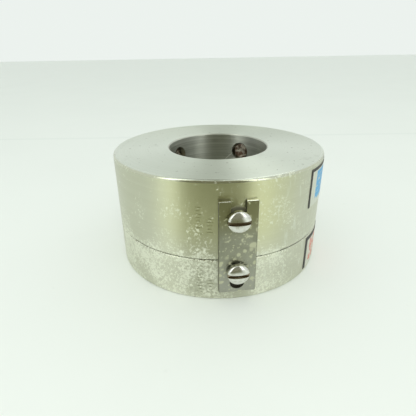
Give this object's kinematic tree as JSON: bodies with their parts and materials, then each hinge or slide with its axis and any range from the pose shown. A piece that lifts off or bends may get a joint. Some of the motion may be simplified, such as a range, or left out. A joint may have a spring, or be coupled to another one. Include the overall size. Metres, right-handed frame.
{
  "type": "beam coupling",
  "caption": "Shrouded beam coupling with two equal-diameter hubs, hidden helical beams, a forked setting plate across the parting line and radial set screws.",
  "frame": {"origin": "centre of the lower hub's bore at its flat end face, which the part stands on", "axes": "+Z along the shaft axis towards the taller hub, -Y towards the setting plate"},
  "size_m": [0.1052, 0.111, 0.0565],
  "materials": {
    "turned_stainless": "fine turned stainless, satin, with dried water stains",
    "spring_steel": "machined precipitation-hardened stainless",
    "black_rubber": "moulded nitrile, matte",
    "plate_steel": "rolled stainless strip, water spotted",
    "bright_screw": "polished stainless",
    "upper_label_foil": "printed polyester foil, satin",
    "lower_label_foil": "printed polyester foil, worn",
    "pin_steel": "ground dowel",
    "socket_screw": "cold-headed stainless",
    "grub_screw": "stainless grub screw",
    "set_screw_steel": "set screw with a coppery tint on its point"
  },
  "bodies": {
    "lower_hub": {"lower_hub": "turned_stainless", "label_lower": "lower_label_foil", "flange_screw_1": "socket_screw", "flange_screw_2": "socket_screw", "flange_screw_3": "socket_screw", "flange_screw_4": "socket_screw", "flange_screw_5": "socket_screw", "flange_screw_6": "socket_screw", "flange_screw_7": "socket_screw", "flange_screw_8": "socket_screw", "stop_pin_1": "pin_steel", "stop_pin_2": "pin_steel", "stop_pin_3": "pin_steel", "stop_pin_4": "pin_steel"},
    "seal": {"dust_seal": "black_rubber"},
    "beams": {"beam_sleeve": "spring_steel"},
    "upper_hub": {"upper_hub": "turned_stainless", "label_upper": "upper_label_foil", "collar_lock_screw_1": "grub_screw", "collar_lock_screw_2": "grub_screw", "collar_lock_screw_3": "grub_screw"},
    "setting_plate": {"setting_plate": "plate_steel"},
    "plate_screw_upper": {"plate_screw_upper": "bright_screw"},
    "plate_screw_lower": {"plate_screw_lower": "bright_screw"},
    "upper_set_screw_1": {"upper_set_screw_1": "set_screw_steel"},
    "upper_set_screw_2": {"upper_set_screw_2": "set_screw_steel"},
    "lower_set_screw_1": {"lower_set_screw_1": "set_screw_steel"},
    "lower_set_screw_2": {"lower_set_screw_2": "set_screw_steel"}
  },
  "joints": [
    {"name": "hub_float", "type": "slide", "parent": "lower_hub", "child": "seal", "axis": [0, 0, 1], "range_m": [-0.00015, 0.0006], "stiffness_N_per_m": 120000, "deforming": ["beam_sleeve"]},
    {"name": "hub_tilt", "type": "hinge", "parent": "seal", "child": "beams", "pos_m": [0, 0, 0.0207], "axis": [0, 1, 0], "range_deg": [-0.2, 0.2], "stiffness_Nm_per_rad": 100, "deforming": ["beam_sleeve"]},
    {"name": "hub_twist", "type": "hinge", "parent": "beams", "child": "upper_hub", "pos_m": [0, 0, 0.0207], "axis": [0, 0, 1], "range_deg": [-0.6, 0.6], "stiffness_Nm_per_rad": 150, "deforming": ["beam_sleeve"]},
    {"name": "plate_withdraw", "type": "slide", "parent": "lower_hub", "child": "setting_plate", "axis": [0, -1, 0], "range_m": [0, 0.02]},
    {"name": "upper_plate_screw_out", "type": "slide", "parent": "upper_hub", "child": "plate_screw_upper", "axis": [0, -1, 0], "range_m": [0, 0.03]},
    {"name": "lower_plate_screw_out", "type": "slide", "parent": "lower_hub", "child": "plate_screw_lower", "axis": [0, -1, 0], "range_m": [0, 0.03]},
    {"name": "upper_set_screw_1_out", "type": "slide", "parent": "upper_hub", "child": "upper_set_screw_1", "axis": [0.6361, 0.7716, 0], "range_m": [0, 0.012]},
    {"name": "upper_set_screw_2_out", "type": "slide", "parent": "upper_hub", "child": "upper_set_screw_2", "axis": [-0.7716, 0.6361, 0], "range_m": [0, 0.012]},
    {"name": "lower_set_screw_1_out", "type": "slide", "parent": "lower_hub", "child": "lower_set_screw_1", "axis": [0.6361, 0.7716, 0], "range_m": [0, 0.012]},
    {"name": "lower_set_screw_2_out", "type": "slide", "parent": "lower_hub", "child": "lower_set_screw_2", "axis": [-0.7716, 0.6361, 0], "range_m": [0, 0.012]}
  ],
  "couplings": [
    {"joint": "upper_plate_screw_out", "follows": "plate_withdraw", "ratio": 1.5},
    {"joint": "lower_plate_screw_out", "follows": "plate_withdraw", "ratio": 1.5}
  ]
}
